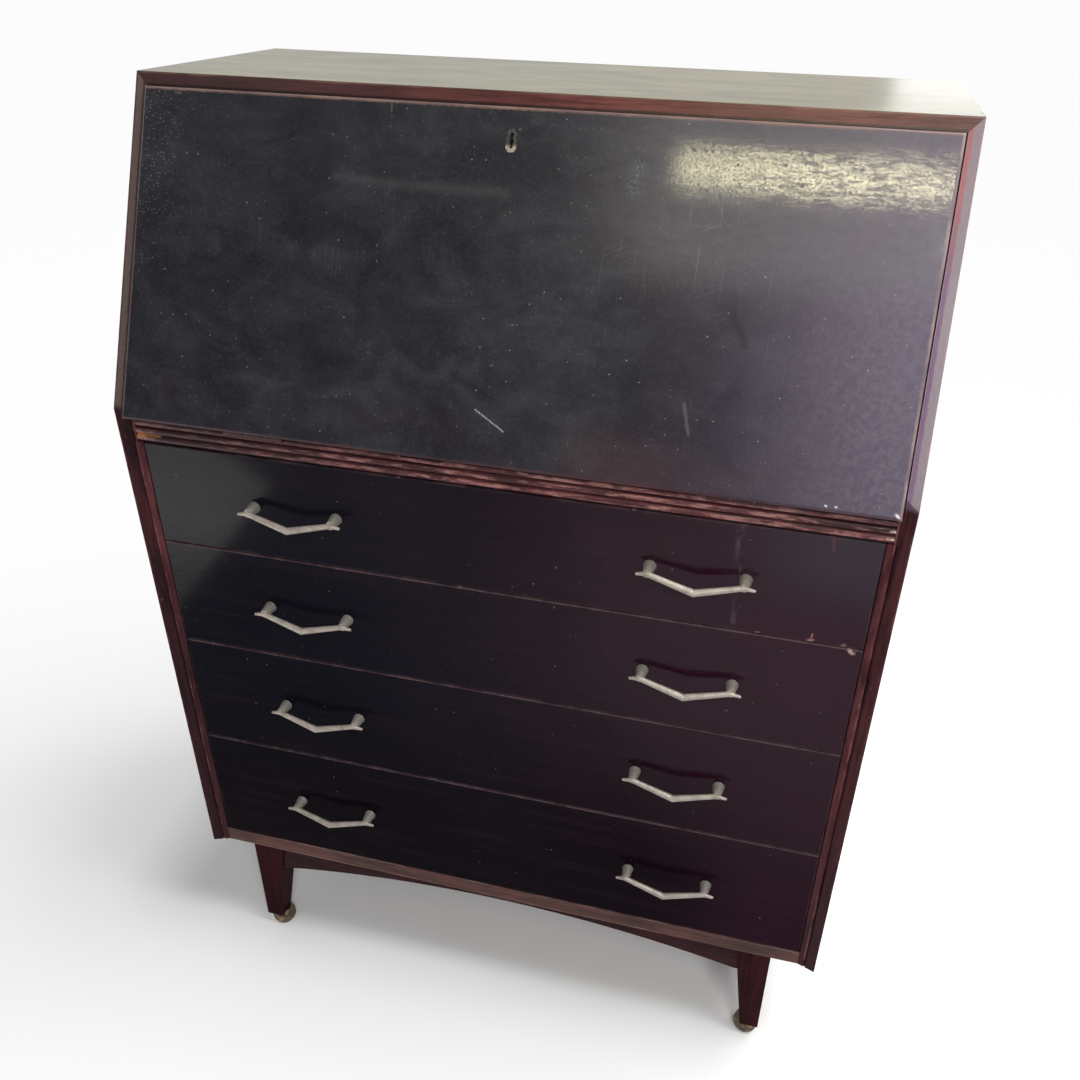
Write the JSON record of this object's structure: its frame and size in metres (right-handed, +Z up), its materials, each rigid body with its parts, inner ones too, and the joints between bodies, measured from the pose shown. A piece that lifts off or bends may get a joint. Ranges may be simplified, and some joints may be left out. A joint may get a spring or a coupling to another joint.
{
  "type": "slant-front bureau",
  "caption": "Slant-front writing bureau: a drop fall on stays over graduated drawers with bow pulls, on tapered legs with bulbous feet.",
  "frame": {"origin": "on the floor, under the middle of the outer box, pulls included", "axes": "+X to the right as seen from the front, +Y to the back, +Z up"},
  "size_m": [0.762, 0.4198, 1.04],
  "materials": {
    "black_lacquered_wood": "scuffed gloss lacquer",
    "stained_wood": "dark red-brown gloss stain",
    "drawer_wood": "plain satin",
    "inner_wood": "brown satin stain",
    "brass": "satin, tarnished",
    "steel": "satin"
  },
  "bodies": {
    "carcass": {"left_side": "stained_wood", "right_side": "stained_wood", "top_panel": "stained_wood", "base_panel": "stained_wood", "back_panel": "inner_wood", "desk_floor": "inner_wood", "reeded_rail": "stained_wood", "left_runners": "drawer_wood", "right_runners": "drawer_wood", "pigeonhole_shelf": "inner_wood", "pigeonhole_dividers": "inner_wood", "front_left_leg": "stained_wood", "front_right_leg": "stained_wood", "rear_left_leg": "stained_wood", "rear_right_leg": "stained_wood", "front_apron": "stained_wood", "rear_rail": "stained_wood", "left_rail": "stained_wood", "right_rail": "stained_wood", "feet": "brass", "strike_plate": "brass", "rail_hinge_leaves": "brass", "hinge_pins": "steel", "stay_plates": "steel"},
    "fall": {"fall_panel": "black_lacquered_wood", "fall_hinge_leaves": "brass", "lock_case": "brass", "keyhole_liner": "brass", "fall_stay_brackets": "steel"},
    "lock_bolt": {"lock_bolt": "brass"},
    "right_rear_arm": {"right_rear_arm": "steel"},
    "left_rear_arm": {"left_rear_arm": "steel"},
    "right_front_arm": {"right_front_arm": "steel"},
    "left_front_arm": {"left_front_arm": "steel"},
    "drawer_1": {"drawer_1_front": "black_lacquered_wood", "drawer_1_left_side": "drawer_wood", "drawer_1_right_side": "drawer_wood", "drawer_1_back": "drawer_wood", "drawer_1_bottom": "drawer_wood", "drawer_1_pulls": "brass"},
    "drawer_2": {"drawer_2_front": "black_lacquered_wood", "drawer_2_left_side": "drawer_wood", "drawer_2_right_side": "drawer_wood", "drawer_2_back": "drawer_wood", "drawer_2_bottom": "drawer_wood", "drawer_2_pulls": "brass"},
    "drawer_3": {"drawer_3_front": "black_lacquered_wood", "drawer_3_left_side": "drawer_wood", "drawer_3_right_side": "drawer_wood", "drawer_3_back": "drawer_wood", "drawer_3_bottom": "drawer_wood", "drawer_3_pulls": "brass"},
    "drawer_4": {"drawer_4_front": "black_lacquered_wood", "drawer_4_left_side": "drawer_wood", "drawer_4_right_side": "drawer_wood", "drawer_4_back": "drawer_wood", "drawer_4_bottom": "drawer_wood", "drawer_4_pulls": "brass"}
  },
  "joints": [
    {"name": "fall_open", "type": "hinge", "parent": "carcass", "child": "fall", "pos_m": [0, -0.18686, 0.7415], "axis": [1, 0, 0], "range_deg": [0, 115.43]},
    {"name": "lock_bolt_throw", "type": "slide", "parent": "fall", "child": "lock_bolt", "axis": [0, 0.4294, 0.9031], "range_m": [0, 0.008]},
    {"name": "right_rear_arm_turn", "type": "hinge", "parent": "carcass", "child": "right_rear_arm", "pos_m": [0.35775, -0.06686, 0.7555], "axis": [1, 0, 0], "range_deg": [0, 115.43]},
    {"name": "right_front_arm_turn", "type": "hinge", "parent": "fall", "child": "right_front_arm", "pos_m": [0.35475, -0.1141, 0.86192], "axis": [1, 0, 0], "range_deg": [-115.43, 0]},
    {"name": "left_rear_arm_turn", "type": "hinge", "parent": "carcass", "child": "left_rear_arm", "pos_m": [-0.35775, -0.06686, 0.7555], "axis": [1, 0, 0], "range_deg": [0, 115.43]},
    {"name": "left_front_arm_turn", "type": "hinge", "parent": "fall", "child": "left_front_arm", "pos_m": [-0.35475, -0.1141, 0.86192], "axis": [1, 0, 0], "range_deg": [-115.43, 0]},
    {"name": "drawer_1_slide", "type": "slide", "parent": "carcass", "child": "drawer_1", "axis": [0, -1, 0], "range_m": [0, 0.28]},
    {"name": "drawer_2_slide", "type": "slide", "parent": "carcass", "child": "drawer_2", "axis": [0, -1, 0], "range_m": [0, 0.28]},
    {"name": "drawer_3_slide", "type": "slide", "parent": "carcass", "child": "drawer_3", "axis": [0, -1, 0], "range_m": [0, 0.28]},
    {"name": "drawer_4_slide", "type": "slide", "parent": "carcass", "child": "drawer_4", "axis": [0, -1, 0], "range_m": [0, 0.28]}
  ],
  "couplings": [
    {"joint": "right_rear_arm_turn", "follows": "fall_open", "ratio": 1},
    {"joint": "right_front_arm_turn", "follows": "fall_open", "ratio": -1},
    {"joint": "left_rear_arm_turn", "follows": "fall_open", "ratio": 1},
    {"joint": "left_front_arm_turn", "follows": "fall_open", "ratio": -1}
  ]
}
